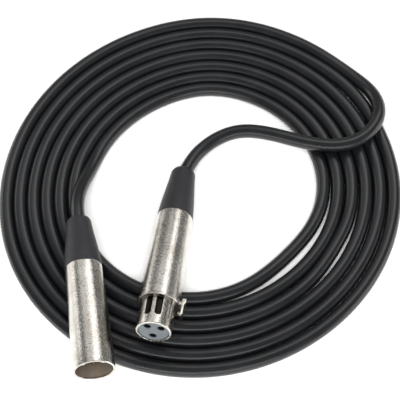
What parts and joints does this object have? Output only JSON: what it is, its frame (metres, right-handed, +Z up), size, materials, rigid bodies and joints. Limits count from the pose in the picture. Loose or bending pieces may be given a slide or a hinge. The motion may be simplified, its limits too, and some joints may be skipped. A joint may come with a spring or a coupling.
{
  "type": "coiled microphone cable",
  "caption": "Black audio cable lying in a flat coil, with a latching three-pole socket connector at one end and a three-pole plug connector at the other.",
  "frame": {"origin": "on the floor, under the middle of the whole coiled cable's bounding box", "axes": "+Z up; +Y away from the user, from the connectors' mating ends towards their boots; +X to the user's right"},
  "size_m": [0.1904, 0.201, 0.0275],
  "materials": {
    "nickel_shell": "satin nickel plate on die-cast zinc",
    "nickel_lever": "bright nickel plate",
    "socket_insulator": "pale grey-blue moulded nylon",
    "plug_insulator": "grey-brown moulded nylon",
    "contact_metal": "turned, thinly plated",
    "steel": "plain",
    "clamp_nylon": "moulded",
    "boot_rubber": "matte moulded PVC",
    "cable_jacket": "satin extruded PVC",
    "shield_copper": "twisted bare copper",
    "core_red": "insulated core",
    "core_white": "insulated core"
  },
  "bodies": {
    "cable": {"socket_shell": "nickel_shell", "socket_insert": "socket_insulator", "socket_contact_1": "contact_metal", "socket_contact_2": "contact_metal", "socket_contact_3": "contact_metal", "latch_pin": "steel", "latch_spring": "steel", "socket_insert_screw": "steel", "socket_clamp_upper": "clamp_nylon", "socket_clamp_lower": "clamp_nylon", "socket_clamp_screws": "steel", "socket_boot": "boot_rubber", "socket_wire_1": "shield_copper", "socket_wire_2": "core_red", "socket_wire_3": "core_white", "plug_shell": "nickel_shell", "plug_insert": "plug_insulator", "plug_pin_1": "contact_metal", "plug_pin_2": "contact_metal", "plug_pin_3": "contact_metal", "plug_insert_screw": "steel", "plug_clamp_upper": "clamp_nylon", "plug_clamp_lower": "clamp_nylon", "plug_clamp_screws": "steel", "plug_boot": "boot_rubber", "plug_wire_1": "shield_copper", "plug_wire_2": "core_red", "plug_wire_3": "core_white", "cable_coil": "cable_jacket", "socket_lead": "cable_jacket", "plug_lead": "cable_jacket"},
    "latch": {"latch_lever": "nickel_lever"}
  },
  "joints": [
    {"name": "latch_press", "type": "hinge", "parent": "cable", "child": "latch", "pos_m": [-0.01042, -0.06724, 0.01715], "axis": [0.0206, 0.1464, 0.989], "range_deg": [0, 5], "stiffness_Nm_per_rad": 0.1, "springref_deg": -5.73, "deforming": ["latch_spring"]}
  ]
}
